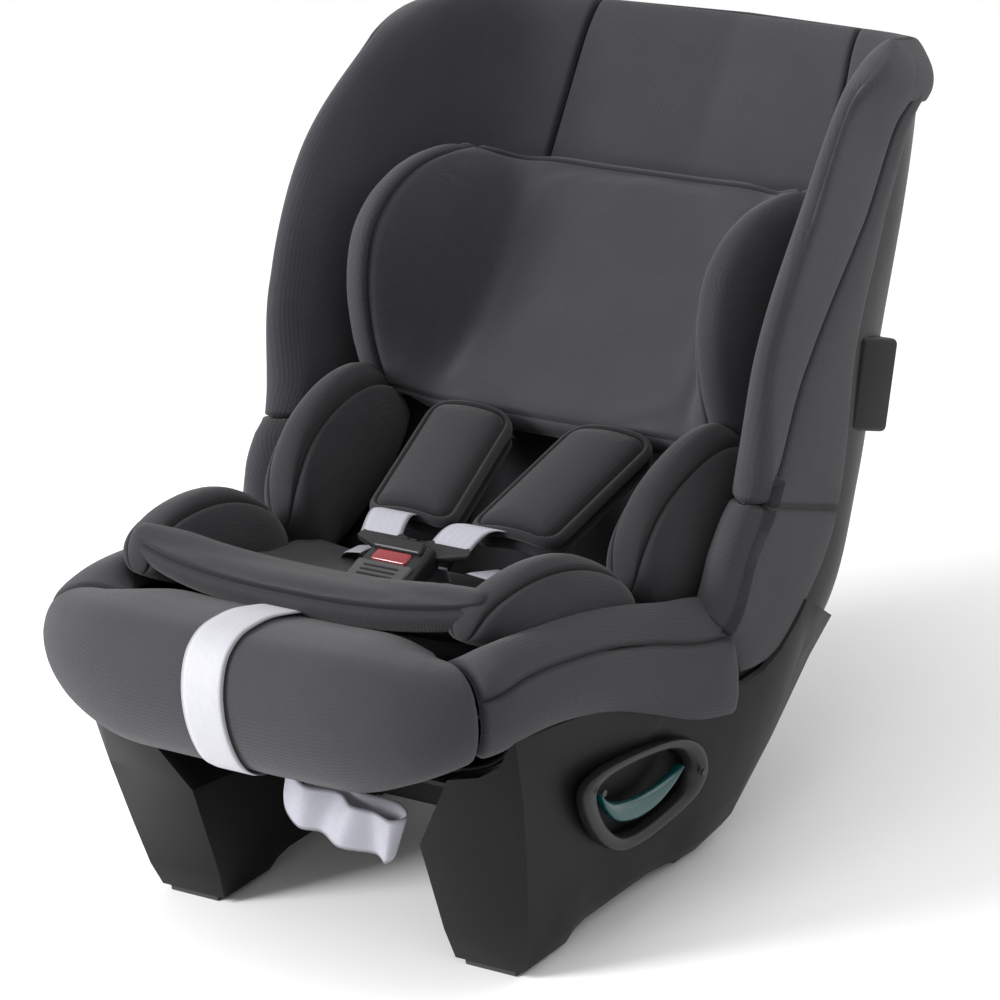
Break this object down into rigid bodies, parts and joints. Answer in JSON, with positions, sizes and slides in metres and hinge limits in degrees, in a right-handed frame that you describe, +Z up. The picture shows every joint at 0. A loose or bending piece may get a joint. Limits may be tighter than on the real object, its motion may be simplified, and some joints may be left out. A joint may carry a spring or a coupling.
{
  "type": "child car seat",
  "caption": "Rear-facing child car seat with a sliding headrest, a padded harness and a newborn insert.",
  "frame": {"origin": "middle of the footprint of the whole seat, on the floor under the four feet", "axes": "+Z up; the child faces -Y; +X is the child's left"},
  "size_m": [0.442, 0.7359, 0.557],
  "materials": {
    "shell_plastic": "fine-textured matte",
    "trim_plastic": "satin",
    "cover_knit": "matte knit",
    "insert_knit": "matte knit",
    "pad_knit": "matte knit",
    "silver_webbing": "woven webbing",
    "light_webbing": "woven webbing",
    "belt_guide_teal": "satin",
    "button_red": "gloss",
    "steel": "zinc plated",
    "foot_rubber": "matte"
  },
  "bodies": {
    "seat": {"adjuster_housing": "trim_plastic", "back_cover": "cover_knit", "base_bridge": "shell_plastic", "base_side_left": "shell_plastic", "base_side_right": "shell_plastic", "belt_guide_frame_left": "shell_plastic", "belt_guide_frame_right": "shell_plastic", "belt_guide_left": "belt_guide_teal", "belt_guide_right": "belt_guide_teal", "belt_hook_left": "trim_plastic", "belt_hook_right": "trim_plastic", "buckle_body": "trim_plastic", "crotch_pad": "pad_knit", "crotch_strap": "silver_webbing", "foot_front_left": "foot_rubber", "foot_front_right": "foot_rubber", "foot_rear_left": "foot_rubber", "foot_rear_right": "foot_rubber", "frame_screw_front_left": "steel", "frame_screw_front_right": "steel", "frame_screw_rear_left": "steel", "frame_screw_rear_right": "steel", "front_lip_cover": "cover_knit", "headrest_rail_left": "steel", "headrest_rail_right": "steel", "hip_cover_left": "cover_knit", "hip_cover_right": "cover_knit", "insert_back": "insert_knit", "insert_seat": "insert_knit", "lap_strap_left": "silver_webbing", "lap_strap_right": "silver_webbing", "lip_strap": "light_webbing", "lumbar_cover": "cover_knit", "seat_cover": "cover_knit", "seat_shell": "shell_plastic", "side_cover_left": "cover_knit", "side_cover_right": "cover_knit", "strap_tail": "light_webbing", "thigh_bolster_left": "insert_knit", "thigh_bolster_right": "insert_knit", "top_cover": "cover_knit", "torso_bolster_left": "insert_knit", "torso_bolster_right": "insert_knit", "wing_cover_left": "cover_knit", "wing_cover_right": "cover_knit"},
    "headrest": {"headrest_carrier": "shell_plastic", "headrest_pad": "cover_knit"},
    "headrest_handle": {"headrest_lever": "trim_plastic"},
    "buckle_release": {"buckle_button": "button_red"},
    "harness_adjuster": {"adjuster_button": "trim_plastic"},
    "harness_left": {"tongue_left": "trim_plastic", "shoulder_strap_left": "silver_webbing", "chest_pad_left": "pad_knit", "chest_backing_left": "pad_knit"},
    "harness_right": {"tongue_right": "trim_plastic", "shoulder_strap_right": "silver_webbing", "chest_pad_right": "pad_knit", "chest_backing_right": "pad_knit"}
  },
  "joints": [
    {"name": "headrest_height", "type": "slide", "parent": "seat", "child": "headrest", "axis": [0, 0.6157, 0.788], "range_m": [0, 0.1]},
    {"name": "headrest_release", "type": "slide", "parent": "headrest", "child": "headrest_handle", "axis": [0, 0.6157, 0.788], "range_m": [0, 0.006], "stiffness_N_per_m": 800},
    {"name": "buckle_press", "type": "slide", "parent": "seat", "child": "buckle_release", "axis": [0, 0.3122, -0.95], "range_m": [0, 0.003], "stiffness_N_per_m": 1500},
    {"name": "adjuster_press", "type": "slide", "parent": "seat", "child": "harness_adjuster", "axis": [0, 0, -1], "range_m": [0, 0.004], "stiffness_N_per_m": 1200},
    {"name": "tongue_left_pull", "type": "slide", "parent": "seat", "child": "harness_left", "axis": [0, 0.95, 0.3122], "range_m": [0, 0.02]},
    {"name": "tongue_right_pull", "type": "slide", "parent": "seat", "child": "harness_right", "axis": [0, 0.95, 0.3122], "range_m": [0, 0.02]}
  ]
}
